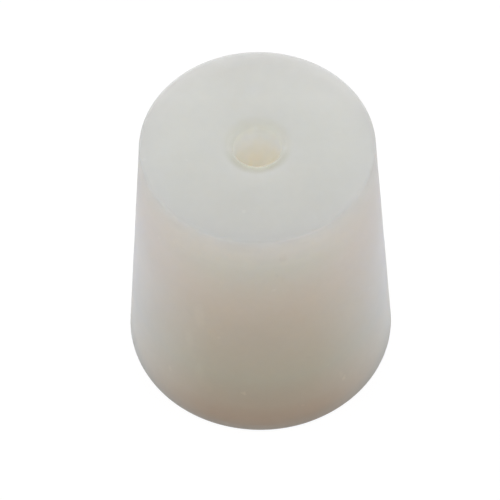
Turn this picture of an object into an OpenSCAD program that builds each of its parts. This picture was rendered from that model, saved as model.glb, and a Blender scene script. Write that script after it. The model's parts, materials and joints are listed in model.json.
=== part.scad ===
// Tapered stopper of milky silicone rubber, with one straight hole through it.
// It is moulded in one piece. It stands on its large end, which lies at z = 0, and
// the z axis runs up the middle of the hole. Sizes are in millimetres.

/* [Body] */
// Diameter of the large end, out to the sharp corner that its rounding cuts off
large_end_diameter = 25; // [22:0.5:40]
// Diameter of the small end, out to the sharp corner that its rounding cuts off
small_end_diameter = 21; // [15:0.5:22]
// Height from the face of the large end to the face of the small end
height = 28.4; // [15:0.1:50]

/* [Outer edges] */
// Radius of the rounded edge around the large end
large_end_edge_radius = 0.3; // [0.1:0.1:1.5]
// Radius of the rounded edge around the small end
small_end_edge_radius = 0.3; // [0.1:0.1:1.5]

/* [Hole] */
// Diameter of the hole along its straight wall
hole_diameter = 4.3; // [2:0.1:7]
// Radius of the rounded mouth of the hole in the large end
large_end_mouth_radius = 0.6; // [0.1:0.1:1.5]
// Radius of the rounded mouth of the hole in the small end
small_end_mouth_radius = 0.6; // [0.1:0.1:1.5]

/* [Hidden] */
$fn = 144;
steps_per_arc = 8;

milky_white = [0.83, 0.82, 0.79];

large_radius = large_end_diameter / 2;
small_radius = small_end_diameter / 2;
hole_radius = hole_diameter / 2;

// Angle by which the tapered side leans in from upright
lean = atan((large_radius - small_radius) / height);

// Each rounded corner of the section is an arc that touches an end face and a wall.
// These are the arcs' centres, as [distance from the axis, height].
large_edge_centre = [
    large_radius - large_end_edge_radius * tan(45 + lean / 2),
    large_end_edge_radius
];
small_edge_centre = [
    small_radius - small_end_edge_radius * tan(45 - lean / 2),
    height - small_end_edge_radius
];
large_mouth_centre = [
    hole_radius + large_end_mouth_radius,
    large_end_mouth_radius
];
small_mouth_centre = [
    hole_radius + small_end_mouth_radius,
    height - small_end_mouth_radius
];

// Points along an arc, with 0 degrees outwards from the axis and 90 degrees up
function arc(centre, radius, from, to) = [
    for (step = [0:steps_per_arc])
        let (angle = from + (to - from) * step / steps_per_arc)
            centre + radius * [cos(angle), sin(angle)]
];

// The rubber on one side of the axis, outlined from the hole's lower mouth outwards
// along the large end, up the tapered side, in along the small end and down the hole
module half_section() {
    polygon(concat(
        arc(large_mouth_centre, large_end_mouth_radius, 180, 270),
        arc(large_edge_centre, large_end_edge_radius, -90, lean),
        arc(small_edge_centre, small_end_edge_radius, lean, 90),
        arc(small_mouth_centre, small_end_mouth_radius, 90, 180)
    ));
}

// The whole stopper is this one section turned about the axis
module stopper() {
    color(milky_white) rotate_extrude() half_section();
}

stopper();
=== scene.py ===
# A tapered laboratory stopper of milky silicone rubber, standing on its large end.
import json
import math

import bpy
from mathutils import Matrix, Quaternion, Vector, noise


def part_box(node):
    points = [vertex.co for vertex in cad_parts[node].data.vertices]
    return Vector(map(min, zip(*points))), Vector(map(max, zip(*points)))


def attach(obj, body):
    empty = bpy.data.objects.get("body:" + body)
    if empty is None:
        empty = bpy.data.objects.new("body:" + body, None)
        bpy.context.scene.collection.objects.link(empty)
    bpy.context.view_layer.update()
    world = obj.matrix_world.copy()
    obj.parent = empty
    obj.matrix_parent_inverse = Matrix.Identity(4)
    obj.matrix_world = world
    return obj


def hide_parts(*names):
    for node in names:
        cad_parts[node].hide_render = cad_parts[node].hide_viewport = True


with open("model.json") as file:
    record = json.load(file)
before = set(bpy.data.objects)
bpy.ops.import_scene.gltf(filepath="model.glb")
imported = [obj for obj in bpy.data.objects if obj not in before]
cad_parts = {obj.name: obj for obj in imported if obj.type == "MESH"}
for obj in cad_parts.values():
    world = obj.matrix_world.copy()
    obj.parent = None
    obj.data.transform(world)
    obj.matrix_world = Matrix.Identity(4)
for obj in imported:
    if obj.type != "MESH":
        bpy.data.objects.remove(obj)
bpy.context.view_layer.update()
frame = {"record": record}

# ---------------------------------------------------------------------------
# Camera: a long lens on a stand, in front of the stopper and well above it, so
# that it looks down on the small end and still sees the whole of the side.
MILLIMETRE = 0.001
camera_place = Vector((0.0, -167.67, 257.68)) * MILLIMETRE
camera_aim = Vector((-0.868, 0.0, 11.847)) * MILLIMETRE
camera_lean = math.radians(-1.335)

camera_data = bpy.data.cameras.new("camera")
camera_data.sensor_width = 36.0
camera_data.lens = 230.9
camera = bpy.data.objects.new("camera", camera_data)
camera.location = camera_place
camera.rotation_mode = "QUATERNION"
camera.rotation_quaternion = (
    (camera_aim - camera_place).to_track_quat("-Z", "Y")
    @ Quaternion((0.0, 0.0, 1.0), camera_lean)
)
bpy.context.scene.collection.objects.link(camera)
bpy.context.scene.camera = camera
bpy.context.scene.view_settings.view_transform = "Standard"

# ---------------------------------------------------------------------------
# Stopper: one moulding of milky silicone rubber. A core pin in the mould forms the
# straight hole, and the mould's corners leave every edge and both mouths rounded.
low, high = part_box("stopper")
hole = next(m for m in frame["record"]["mounts"] if m["name"] == "hole")
height = high.z - low.z
large_radius = 12.5 * MILLIMETRE
small_radius = 10.5 * MILLIMETRE
edge_radius = 0.3 * MILLIMETRE
hole_radius = hole["dims"]["r_mm"] * MILLIMETRE
mouth_radius = (height - hole["dims"]["length_mm"] * MILLIMETRE) / 2
side_lean = math.atan((large_radius - small_radius) / height)

# The half-section runs round its four corners, from the lower mouth outwards. The steps of
# its straight runs are given for the large end, the side, the small end and the hole.
SEGMENTS = 240
ARC_STEPS = 10
RUN_STEPS = [14, 56, 16, 44]
QUARTER_TURN = math.pi / 2


def rounded_corner(centre_out, centre_up, radius, start, end):
    """Points round one corner of the section, as (distance from axis, height)."""
    angles = [start + (end - start) * step / ARC_STEPS for step in range(ARC_STEPS + 1)]
    return [
        (centre_out + radius * math.cos(angle), centre_up + radius * math.sin(angle))
        for angle in angles
    ]


def straight_run(start, end, steps):
    """Points strictly between two points of the section."""
    return [
        (
            start[0] + (end[0] - start[0]) * step / steps,
            start[1] + (end[1] - start[1]) * step / steps,
        )
        for step in range(1, steps)
    ]


mouth_out = hole_radius + mouth_radius
large_edge_out = large_radius - edge_radius * math.tan(math.pi / 4 + side_lean / 2)
small_edge_out = small_radius - edge_radius * math.tan(math.pi / 4 - side_lean / 2)
corners = [
    rounded_corner(mouth_out, mouth_radius, mouth_radius, math.pi, 3 * QUARTER_TURN),
    rounded_corner(large_edge_out, edge_radius, edge_radius, -QUARTER_TURN, side_lean),
    rounded_corner(small_edge_out, height - edge_radius, edge_radius, side_lean, QUARTER_TURN),
    rounded_corner(mouth_out, height - mouth_radius, mouth_radius, QUARTER_TURN, math.pi),
]
section = []
for corner, next_corner, steps in zip(corners, corners[1:] + corners[:1], RUN_STEPS):
    section += corner + straight_run(corner[-1], next_corner[0], steps)

turns = [2 * math.pi * segment / SEGMENTS for segment in range(SEGMENTS)]
vertices = [
    (out * math.cos(turn), out * math.sin(turn), up) for out, up in section for turn in turns
]
faces = []
for ring in range(len(section)):
    next_ring = (ring + 1) % len(section)
    for segment in range(SEGMENTS):
        beside = (segment + 1) % SEGMENTS
        faces.append((
            ring * SEGMENTS + segment,
            ring * SEGMENTS + beside,
            next_ring * SEGMENTS + beside,
            next_ring * SEGMENTS + segment,
        ))
stopper_mesh = bpy.data.meshes.new("moulded_stopper")
stopper_mesh.from_pydata(vertices, [], faces)
stopper_mesh.polygons.foreach_set("use_smooth", [True] * len(faces))
stopper_mesh.update()

# The rubber shrinks unevenly as it cures, so every face lies a hair inside its true place.
shrink_depth = 0.02 * MILLIMETRE
shrink_width = 6.0 * MILLIMETRE
outward_ways = [vertex.normal.copy() for vertex in stopper_mesh.vertices]
for vertex, outward_way in zip(stopper_mesh.vertices, outward_ways):
    unevenness = 0.5 + 0.5 * noise.noise(vertex.co / shrink_width)
    vertex.co -= outward_way * shrink_depth * min(max(unevenness, 0.0), 1.0)
stopper_mesh.update()

stopper = bpy.data.objects.new("moulded_stopper", stopper_mesh)
bpy.context.scene.collection.objects.link(stopper)

silicone = bpy.data.materials.new("milky_silicone")
silicone.use_nodes = True
nodes = silicone.node_tree.nodes
links = silicone.node_tree.links


def put(kind, **settings):
    """A new node of this kind in the material that is being made, with its own settings."""
    node = nodes.new("ShaderNode" + kind)
    for name, value in settings.items():
        setattr(node, name, value)
    return node


def feed(node, **sources):
    """Joins outputs, or writes values, to a node's inputs. Base_Color stands for the
    input "Base Color", and i3 for input number 3."""
    for name, source in sources.items():
        numbered = name[1:].isdigit()
        socket = node.inputs[int(name[1:]) if numbered else name.replace("_", " ")]
        if isinstance(source, bpy.types.NodeSocket):
            links.new(source, socket)
        else:
            socket.default_value = source
    return node


def combine(operation, first, second):
    """Two values put together by a sum, product or other operation."""
    return feed(put("Math", operation=operation), i0=first, i1=second).outputs[0]


def add_some(total, share, amount):
    """The total with an amount added, as far as the share allows."""
    return combine("ADD", total, combine("MULTIPLY", share, amount))


def along(value, start, end):
    """An even rise from 0 to 1 as value goes from start to end."""
    return feed(put("MapRange"), i0=value, i1=start, i2=end).outputs[0]


def ramp(value, start, end, low_result=0.0, high_result=1.0):
    """A smooth change from low_result to high_result as value goes from start to end."""
    steps = put("MapRange", interpolation_type="SMOOTHSTEP")
    return feed(steps, i0=value, i1=start, i2=end, i3=low_result, i4=high_result).outputs[0]


def blend_colours(share, first, second):
    """The colour between first and second, at that share of second."""
    mixer = put("Mix", data_type="RGBA")
    return feed(mixer, i0=share, i6=first, i7=second).outputs[2]


def colours_along(share, rows):
    """The colour at each share of the way, blended between the rows."""
    scale = put("ValToRGB")
    stops = scale.color_ramp.elements
    while len(stops) < len(rows):
        stops.new(0.5)
    for stop, (position, colour) in zip(stops, rows):
        stop.position = position
        stop.color = (*colour, 1.0)
    return feed(scale, i0=share).outputs[0]


# Light goes about a centimetre into the rubber, and comes out a little warmer.
shader = feed(
    nodes["Principled BSDF"],
    IOR=1.41, Specular_IOR_Level=0.28,
    Subsurface_Weight=1.0, Subsurface_Radius=(1.0, 0.92, 0.8), Subsurface_Scale=0.015,
)

# Where a point of the rubber lies, and which way it faces. towards_front is 1 on the side
# that faces -Y and -1 round the back, and facing is 1 on the end face and -1 underneath.
place = put("TexCoord").outputs["Object"]
place_parts = feed(put("SeparateXYZ"), i0=place)
rise = along(place_parts.outputs[2], 0.0, height)
depth = combine("SUBTRACT", height, place_parts.outputs[2])
across = feed(put("CombineXYZ"), i0=place_parts.outputs[0], i1=place_parts.outputs[1])
from_axis = feed(put("VectorMath", operation="LENGTH"), i0=across.outputs[0]).outputs[1]
outward = feed(put("VectorMath", operation="NORMALIZE"), i0=across.outputs[0]).outputs[0]
towards_front = combine("MULTIPLY", feed(put("SeparateXYZ"), i0=outward).outputs[1], -1.0)
facing = feed(put("SeparateXYZ"), i0=put("NewGeometry").outputs["Normal"]).outputs[2]

# Painted light and shade on the side: each height is painted its own lighter or darker tone, and
# the side that faces -Y is painted warmer and darker, most of all low down, for shade and for warm
# light through the rubber; round the back it keeps a plain milky tone. Each row is (share of the
# height, colour).
height_shade_colours = [
    (0.00, (0.990, 0.922, 0.782)),
    (0.28, (0.826, 0.836, 0.854)),
    (0.56, (0.890, 0.878, 0.900)),
    (0.78, (0.819, 0.792, 0.792)),
    (0.93, (0.687, 0.678, 0.665)),
    (1.00, (0.600, 0.592, 0.570)),
]
front_shade_colours = [
    (0.00, (0.500, 0.312, 0.205)),
    (0.07, (0.622, 0.455, 0.343)),
    (0.14, (0.671, 0.560, 0.445)),
    (0.28, (0.708, 0.660, 0.540)),
    (0.56, (0.828, 0.742, 0.634)),
    (0.78, (0.983, 0.844, 0.753)),
    (0.88, (0.992, 0.878, 0.784)),
    (0.94, (0.882, 0.824, 0.757)),
    (1.00, (0.673, 0.667, 0.640)),
]
front_shade_from, front_shade_full = 0.17, 0.92
plain_from, plain_full = 0.0, -0.6
back_saturation = 0.35
front_shade_share = along(towards_front, front_shade_from, front_shade_full)
saturation = ramp(towards_front, plain_from, plain_full, 1.0, back_saturation)
height_shade_colour = feed(
    put("HueSaturation"), Saturation=saturation, Color=colours_along(rise, height_shade_colours)
).outputs[0]
rubber_and_shade_colour = blend_colours(front_shade_share, height_shade_colour, colours_along(rise, front_shade_colours))

# Painted shade across the end face: it is painted darker than the side, most of all towards its
# near and far rims. Each row across the end face is (share of the way from -Y to +Y, colour).
end_face_shade_colours = [
    (0.00, (0.572, 0.572, 0.546)),
    (0.26, (0.599, 0.606, 0.582)),
    (0.50, (0.622, 0.632, 0.608)),
    (0.75, (0.624, 0.634, 0.614)),
    (0.88, (0.585, 0.594, 0.577)),
    (1.00, (0.541, 0.551, 0.536)),
]
large_end_colour = (0.640, 0.635, 0.600, 1.0)
end_face_from, end_face_full = 0.2, 0.9
large_end_from, large_end_full = -0.6, -0.95
on_end_face = ramp(facing, end_face_from, end_face_full)
on_large_end = ramp(facing, large_end_from, large_end_full)
across_end_face = along(place_parts.outputs[1], -small_radius, small_radius)
end_face_shade_colour = colours_along(across_end_face, end_face_shade_colours)
rubber_and_shade_colour = blend_colours(on_end_face, rubber_and_shade_colour, end_face_shade_colour)
rubber_and_shade_colour = blend_colours(on_large_end, rubber_and_shade_colour, large_end_colour)

# Painted light down the hole: the wall is painted paler the deeper it goes, for light that comes
# through the rubber. Each row down the hole is (share of the depth that takes a tint, colour).
bore_light_depth = 7.0 * MILLIMETRE
bore_light_colours = [
    (0.00, (0.600, 0.605, 0.560)),
    (0.08, (0.750, 0.765, 0.720)),
    (0.23, (0.815, 0.830, 0.820)),
    (0.40, (0.895, 0.895, 0.865)),
    (1.00, (0.985, 0.975, 0.915)),
]
# Painted shade: the lip of the hole on the side that faces -Y is painted darker.
front_lip_shade_colour = (0.390, 0.390, 0.300, 1.0)
tint_edge = hole_radius + 2.0 * mouth_radius
tint_full = hole_radius + 0.6 * mouth_radius
bore_light_colour = colours_along(along(depth, 0.0, bore_light_depth), bore_light_colours)
on_shaded_front_lip = combine("MULTIPLY", front_shade_share, ramp(depth, mouth_radius, 0.5 * mouth_radius))
bore_light_colour = blend_colours(on_shaded_front_lip, bore_light_colour, front_lip_shade_colour)
near_bore = ramp(from_axis, tint_edge, tint_full)
rubber_and_shade_colour = blend_colours(near_bore, rubber_and_shade_colour, bore_light_colour)

# Painted light: the hole glows warm by emission deep down, for light that has come in through the
# side, out of the lamps' reach.
bore_glow = (0.060, 0.044, 0.016, 1.0)
no_glow = (0.0, 0.0, 0.0, 1.0)
glow_edge = hole_radius + 0.5 * mouth_radius
glow_full = hole_radius + 0.1 * mouth_radius
glow_start_depth = 0.3 * bore_light_depth
in_bore = ramp(from_axis, glow_edge, glow_full)
glow_share = combine("MULTIPLY", in_bore, ramp(depth, glow_start_depth, bore_light_depth))
feed(shader, Emission_Color=blend_colours(glow_share, no_glow, bore_glow), Emission_Strength=1.0)


def soft_noise(per_metre, detail, roughness):
    """Soft noise in the rubber, with so many lumps to the metre."""
    return feed(put("TexNoise"), Vector=place, Scale=per_metre, Detail=detail, Roughness=roughness)


def mottle(per_metre, detail, roughness, low_result, high_result):
    """A value that wanders between two results from patch to patch."""
    faint, strong = 0.3, 0.7
    patches = soft_noise(per_metre, detail, roughness).outputs[0]
    return ramp(patches, faint, strong, low_result, high_result)


# Cloudiness: soft patches a few millimetres wide, with a finer cloud inside them.
broad_cloud = mottle(170.0, detail=3.0, roughness=0.5, low_result=-0.010, high_result=0.010)
fine_cloud = mottle(1100.0, detail=3.0, roughness=0.6, low_result=-0.006, high_result=0.006)
brightness = combine("ADD", combine("ADD", broad_cloud, fine_cloud), 1.0)

# Marks of handling on the side: pale rubbed streaks, bright nibs and dull spots. Each row is
# (turn from -Y towards +X in degrees, height, half width, half height, strength), in
# millimetres. Their borders are ragged, and the tall ones are rubbed dull.
handling_marks = [
    (-29.0, 16.0, 0.65, 1.9, 0.032),
    (-34.0, 11.7, 0.45, 1.6, 0.030),
    (-28.5, 7.4, 0.55, 1.8, 0.028),
    (-25.0, 5.6, 0.60, 1.1, 0.016),
    (-44.4, 5.2, 0.35, 0.6, 0.050),
    (-8.2, 5.9, 0.26, 0.35, 0.110),
    (39.0, 4.4, 0.24, 0.35, 0.090),
    (37.5, 5.4, 0.25, 0.7, 0.035),
    (11.4, 25.8, 0.36, 0.55, -0.055),
    (8.0, 23.5, 0.20, 0.45, -0.025),
    (21.5, 10.3, 0.22, 0.35, -0.030),
    (150.0, 18.5, 0.55, 1.7, 0.030),
    (-118.0, 9.0, 0.50, 1.5, 0.028),
    (95.0, 21.0, 0.30, 0.45, -0.040),
]
mark_core, mark_reach = 0.3, 1.3
tall_mark = 1.0
raggedness = 0.8 * MILLIMETRE
middle_grey = (0.5, 0.5, 0.5)
ragged = soft_noise(1500.0, detail=2.0, roughness=0.6).outputs["Color"]
shift = feed(put("VectorMath", operation="SUBTRACT"), i0=ragged, i1=middle_grey).outputs[0]
shift = feed(put("VectorMath", operation="SCALE"), i0=shift, i3=raggedness).outputs[0]
ragged_place = feed(put("VectorMath", operation="ADD"), i0=place, i1=shift).outputs[0]
rubbed = 0.0
for turn, mark_height, half_width, half_height, strength in handling_marks:
    turn = math.radians(turn)
    reach = large_radius - mark_height * MILLIMETRE * math.tan(side_lean)
    centre = (reach * math.sin(turn), -reach * math.cos(turn), mark_height * MILLIMETRE)
    spread = (half_width * MILLIMETRE, half_width * MILLIMETRE, half_height * MILLIMETRE)
    off = feed(put("VectorMath", operation="SUBTRACT"), i0=ragged_place, i1=centre).outputs[0]
    off = feed(put("VectorMath", operation="DIVIDE"), i0=off, i1=spread).outputs[0]
    off = feed(put("VectorMath", operation="LENGTH"), i0=off).outputs[1]
    brightness = combine("ADD", brightness, ramp(off, mark_core, mark_reach, strength, 0.0))
    if half_height > tall_mark:
        rubbed = combine("MAXIMUM", rubbed, ramp(off, mark_core, mark_reach, 1.0, 0.0))

# A few tiny pale specks lie scattered just under the surface all over. Each cell of the
# rubber draws a lot, and only the highest lots hold a speck.
cells_per_metre = 800.0
speck_core, speck_reach = 0.08, 0.20
lot_from, lot_full = 0.90, 0.98
speck_paleness = 0.05
cells = feed(put("TexVoronoi"), Vector=place, Scale=cells_per_metre)
lot = feed(put("SeparateColor"), i0=cells.outputs["Color"]).outputs[0]
in_speck = ramp(cells.outputs["Distance"], speck_core, speck_reach, 1.0, 0.0)
speck = combine("MULTIPLY", in_speck, ramp(lot, lot_from, lot_full))
brightness = add_some(brightness, speck, speck_paleness)

# Painted light: the rounded outer edges are painted a little paler than the faces, lifting the
# shade that falls on them.
edge_painted_light = 0.025
level_share = feed(put("Math", operation="ABSOLUTE"), i0=facing).outputs[0]
off_upright = ramp(level_share, 0.10, 0.30)
off_level = ramp(level_share, 0.90, 0.995, 1.0, 0.0)
on_edge = combine("MULTIPLY", off_upright, off_level)
on_outer_edge = combine("MULTIPLY", on_edge, combine("SUBTRACT", 1.0, near_bore))
brightness = add_some(brightness, on_outer_edge, edge_painted_light)

# Painted shade: the end face is painted darker towards its far rim.
far_rim_shade = -0.19
rim_start = 0.57 * small_radius
rim_steepness = 3.0
near_rim = combine("POWER", along(from_axis, rim_start, small_radius), rim_steepness)
far_rim = combine("MULTIPLY", near_rim, ramp(towards_front, 0.5, -0.5))
far_rim = combine("MULTIPLY", far_rim, on_end_face)
brightness = add_some(brightness, far_rim, far_rim_shade)

# The rubber's colour with its painted light and shade, and its clouds, marks and specks.
clouded_and_shaded = feed(put("VectorMath", operation="SCALE"), i0=rubber_and_shade_colour, i3=brightness)
feed(shader, Base_Color=clouded_and_shaded.outputs[0])

# Finish: satin on the faces, duller where it is rubbed and on every rounded edge.
edge_dullness = 0.6
rubbed_dullness = 0.08
satin = mottle(120.0, detail=2.0, roughness=0.5, low_result=0.29, high_result=0.32)
dullness = add_some(satin, on_edge, edge_dullness)
feed(shader, Roughness=add_some(dullness, rubbed, rubbed_dullness))

# Grain: the fine bloom of the mould's surface, a few thousandths of a millimetre deep.
grain_depth = 0.005 * MILLIMETRE
grain = soft_noise(4500.0, detail=2.0, roughness=0.5).outputs[0]
relief = feed(put("Bump"), Strength=1.0, Distance=grain_depth, Height=grain)
feed(shader, Normal=relief.outputs[0])
stopper_mesh.materials.append(silicone)

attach(stopper, "root")
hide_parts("stopper")

# ---------------------------------------------------------------------------
# Floor: a smooth white table top, a hair below the stopper. It shows as white,
# keeps a faint shadow, and throws a little light back at the stopper's foot.
floor_half = 2.0
floor_level = -0.02 * MILLIMETRE
floor_mesh = bpy.data.meshes.new("table_top")
floor_mesh.from_pydata(
    [(-floor_half, -floor_half, floor_level), (floor_half, -floor_half, floor_level),
     (floor_half, floor_half, floor_level), (-floor_half, floor_half, floor_level)],
    [], [(0, 1, 2, 3)],
)
table_top = bpy.data.objects.new("table_top", floor_mesh)
bpy.context.scene.collection.objects.link(table_top)
table_white = bpy.data.materials.new("table_white")
table_white.use_nodes = True
nodes = table_white.node_tree.nodes
links = table_white.node_tree.links
nodes.remove(nodes["Principled BSDF"])
share_in_gloss = 0.6


def seen_as_white():
    """1 for what is seen, straight or through something clear, and less for gloss."""
    ways = put("LightPath")
    in_gloss = combine("MULTIPLY", ways.outputs["Is Glossy Ray"], share_in_gloss)
    seen = combine("MAXIMUM", ways.outputs["Is Camera Ray"], in_gloss)
    return combine("MAXIMUM", seen, ways.outputs["Is Transmission Ray"])


def glowing_matt(tone, strength):
    """A matt grey of this tone that also gives light of this strength."""
    matt = feed(put("BsdfDiffuse"), Color=(tone, tone, tone, 1.0))
    light = feed(put("Emission"), Strength=strength)
    return feed(put("AddShader"), i0=matt.outputs[0], i1=light.outputs[0]).outputs[0]


# The table as it lights the stopper, and as it is seen.
lighting_side = glowing_matt(tone=0.25, strength=0.212)
shown_side = glowing_matt(tone=0.10, strength=0.93)
choice = feed(put("MixShader"), i0=seen_as_white(), i1=lighting_side, i2=shown_side)
feed(nodes["Material Output"], Surface=choice.outputs[0])
floor_mesh.materials.append(table_white)

# ---------------------------------------------------------------------------
# Light: four soft boxes, half a metre across and half a metre away: one low behind the
# stopper, one on each side and one overhead. The room around is plain white.
box_size = 0.5
box_distance = 0.5
lamp_aim = Vector((0.0, 0.0, 12.0)) * MILLIMETRE
# Each row is (name, turn from straight behind towards +X, angle above the table, watts).
soft_boxes = [
    ("back_soft_box", 0, 20, 1.52),
    ("left_soft_box", -90, 45, 1.19),
    ("right_soft_box", 90, 45, 1.17),
    ("overhead_soft_box", 180, 70, 0.975),
]
for name, turn, angle_up, watts in soft_boxes:
    turn, angle_up = math.radians(turn), math.radians(angle_up)
    level_way = Vector((math.sin(turn), math.cos(turn), 0.0)) * math.cos(angle_up)
    lamp_place = (level_way + Vector((0.0, 0.0, math.sin(angle_up)))) * box_distance
    lamp_data = bpy.data.lights.new(name, "AREA")
    lamp_data.shape = "SQUARE"
    lamp_data.size = box_size
    lamp_data.energy = watts
    lamp = bpy.data.objects.new(name, lamp_data)
    lamp.location = lamp_place
    lamp.rotation_mode = "QUATERNION"
    lamp.rotation_quaternion = (lamp_aim - lamp_place).to_track_quat("-Z", "Y")
    bpy.context.scene.collection.objects.link(lamp)

room = bpy.data.worlds.new("pale_room")
bpy.context.scene.world = room
room.use_nodes = True
nodes = room.node_tree.nodes
links = room.node_tree.links
feed(nodes["Background"], Color=(1.0, 1.0, 1.0, 1.0), Strength=seen_as_white())
